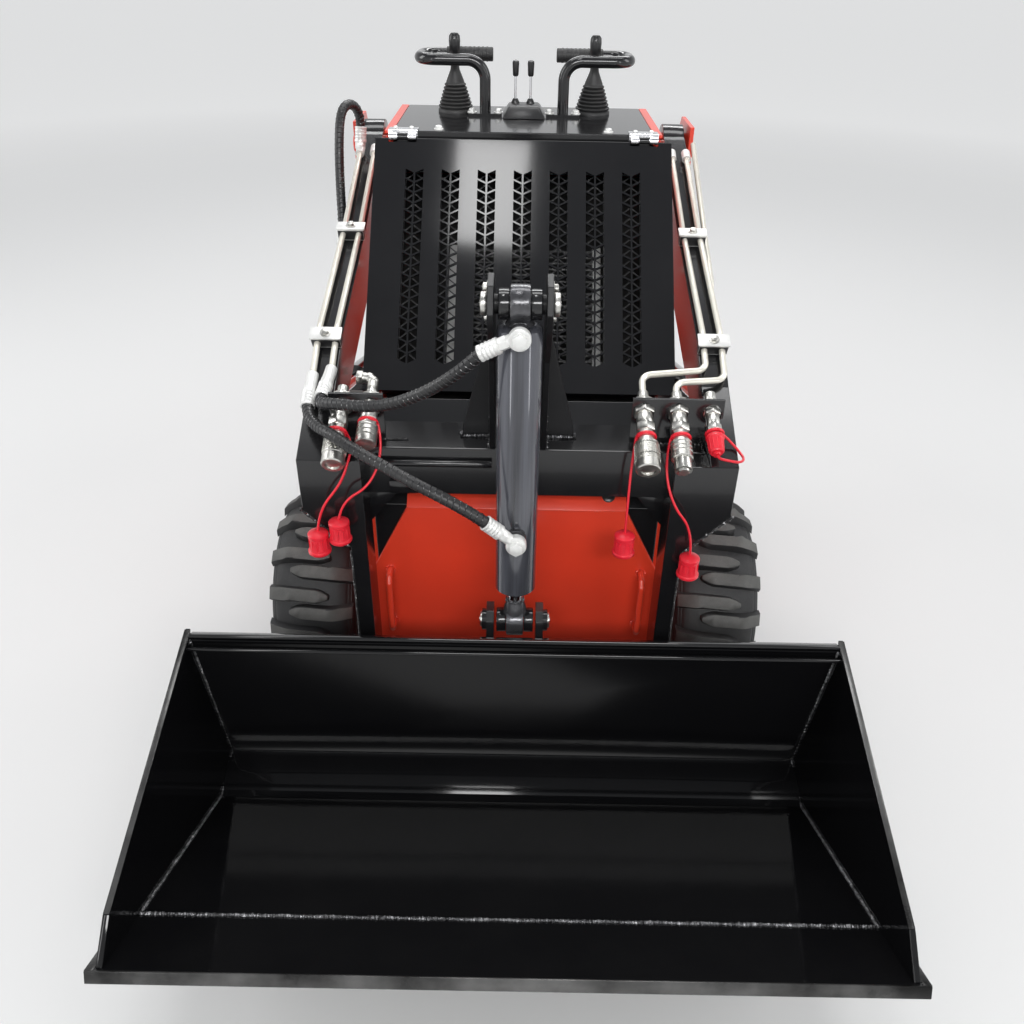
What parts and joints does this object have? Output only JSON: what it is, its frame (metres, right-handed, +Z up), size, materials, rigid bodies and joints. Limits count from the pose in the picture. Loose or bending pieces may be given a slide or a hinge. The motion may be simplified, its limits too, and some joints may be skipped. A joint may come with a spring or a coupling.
{
  "type": "skid steer loader",
  "caption": "Compact wheeled skid steer loader driven from a step behind: lift arms with a tilting bucket, a slotted sloping hood and a control console with hand rails.",
  "frame": {"origin": "middle of the footprint on the ground under the tyres", "axes": "+Z up, -Y forward to the bucket, +X to the machine's left"},
  "size_m": [1.196, 2.1819, 1.332],
  "materials": {
    "red_paint": "gloss",
    "black_paint": "gloss",
    "bucket_paint": "satin",
    "worn_steel": "worn",
    "zinc": "zinc plated",
    "chrome": "polished",
    "cast": "painted casting",
    "rim_paint": "satin",
    "tyre": "matte",
    "rubber": "matte",
    "hose": "matte, spiral guard",
    "black_plastic": "matte",
    "red_plastic": "moulded"
  },
  "bodies": {
    "chassis": {"belly_plate": "black_paint", "side_panels": "red_paint", "front_panel": "red_paint", "front_cowl": "black_paint", "rear_panel": "red_paint", "console": "black_paint", "uprights": "red_paint", "engine_block": "cast", "hood_hinges": "chrome", "wheel_axles": "cast", "platform_brackets": "black_paint", "hand_rails": "black_paint", "stick_boots": "rubber", "control_sticks": "black_plastic", "centre_controls": "black_plastic"},
    "arm": {"arm_left": "black_paint", "arm_right": "black_paint", "cross_member": "black_paint", "tilt_tower": "black_paint", "line_tubes": "zinc", "line_fittings": "zinc", "coupler_brackets": "black_paint", "couplers": "zinc", "dust_caps": "red_plastic", "arm_hose": "hose", "tilt_hose_head": "hose", "tilt_hose_rod": "hose"},
    "hood": {"hood_panel": "black_paint"},
    "platform": {"platform": "black_paint"},
    "bucket": {"bucket_shell": "bucket_paint", "cutting_edge": "worn_steel", "hitch_plate": "black_paint"},
    "tilt_barrel": {"tilt_barrel": "black_paint", "tilt_ports": "zinc"},
    "tilt_rod": {"tilt_rod": "chrome"},
    "lift_barrel_left": {"lift_barrel_left": "black_paint"},
    "lift_rod_left": {"lift_rod_left": "chrome"},
    "lift_barrel_right": {"lift_barrel_right": "black_paint"},
    "lift_rod_right": {"lift_rod_right": "chrome"},
    "wheel_front_left": {"tyre_front_left": "tyre", "rim_front_left": "rim_paint"},
    "wheel_rear_left": {"tyre_rear_left": "tyre", "rim_rear_left": "rim_paint"},
    "wheel_front_right": {"tyre_front_right": "tyre", "rim_front_right": "rim_paint"},
    "wheel_rear_right": {"tyre_rear_right": "tyre", "rim_rear_right": "rim_paint"}
  },
  "joints": [
    {"name": "lift", "type": "hinge", "parent": "chassis", "child": "arm", "pos_m": [0, 0.55, 1.08], "axis": [-1, 0, 0], "range_deg": [0, 75]},
    {"name": "bucket_tilt", "type": "hinge", "parent": "arm", "child": "bucket", "pos_m": [0, -0.44, 0.17], "axis": [1, 0, 0], "range_deg": [0, 75]},
    {"name": "tilt_barrel_swing", "type": "hinge", "parent": "arm", "child": "tilt_barrel", "pos_m": [0, -0.475, 1.055], "axis": [-1, 0, 0], "range_deg": [-1, 14.8], "deforming": ["tilt_hose_head", "tilt_hose_rod"]},
    {"name": "tilt_rod_slide", "type": "slide", "parent": "tilt_barrel", "child": "tilt_rod", "axis": [0, -0.0504, -0.9987], "range_m": [-0.002, 0.318]},
    {"name": "hood_open", "type": "hinge", "parent": "chassis", "child": "hood", "pos_m": [0, 0.215, 1.16], "axis": [-1, 0, 0], "range_deg": [0, 70]},
    {"name": "platform_fold", "type": "hinge", "parent": "chassis", "child": "platform", "pos_m": [0, 0.69, 0.205], "axis": [1, 0, 0], "range_deg": [0, 85]},
    {"name": "lift_barrel_swing_left", "type": "hinge", "parent": "chassis", "child": "lift_barrel_left", "pos_m": [0.36, 0.62, 0.52], "axis": [-1, 0, 0], "range_deg": [-1, 49.9]},
    {"name": "lift_rod_slide_left", "type": "slide", "parent": "lift_barrel_left", "child": "lift_rod_left", "axis": [0, -0.9587, 0.2843], "range_m": [-0.002, 0.474]},
    {"name": "lift_barrel_swing_right", "type": "hinge", "parent": "chassis", "child": "lift_barrel_right", "pos_m": [-0.36, 0.62, 0.52], "axis": [-1, 0, 0], "range_deg": [-1, 49.9]},
    {"name": "lift_rod_slide_right", "type": "slide", "parent": "lift_barrel_right", "child": "lift_rod_right", "axis": [0, -0.9587, 0.2843], "range_m": [-0.002, 0.474]},
    {"name": "wheel_spin_front_left", "type": "hinge", "parent": "chassis", "child": "wheel_front_left", "pos_m": [0.4335, -0.123, 0.2285], "axis": [1, 0, 0], "continuous": true},
    {"name": "wheel_spin_rear_left", "type": "hinge", "parent": "chassis", "child": "wheel_rear_left", "pos_m": [0.4335, 0.5, 0.2285], "axis": [1, 0, 0], "continuous": true},
    {"name": "wheel_spin_front_right", "type": "hinge", "parent": "chassis", "child": "wheel_front_right", "pos_m": [-0.4335, -0.123, 0.2285], "axis": [1, 0, 0], "continuous": true},
    {"name": "wheel_spin_rear_right", "type": "hinge", "parent": "chassis", "child": "wheel_rear_right", "pos_m": [-0.4335, 0.5, 0.2285], "axis": [1, 0, 0], "continuous": true}
  ],
  "couplings": [
    {"joint": "tilt_barrel_swing", "follows": "bucket_tilt", "ratio": 0.18427},
    {"joint": "tilt_rod_slide", "follows": "bucket_tilt", "m_per_rad": 0.24097},
    {"joint": "lift_barrel_swing_left", "follows": "lift", "ratio": 0.65206},
    {"joint": "lift_rod_slide_left", "follows": "lift", "m_per_rad": 0.3599},
    {"joint": "lift_barrel_swing_right", "follows": "lift", "ratio": 0.65206},
    {"joint": "lift_rod_slide_right", "follows": "lift", "m_per_rad": 0.3599}
  ]
}
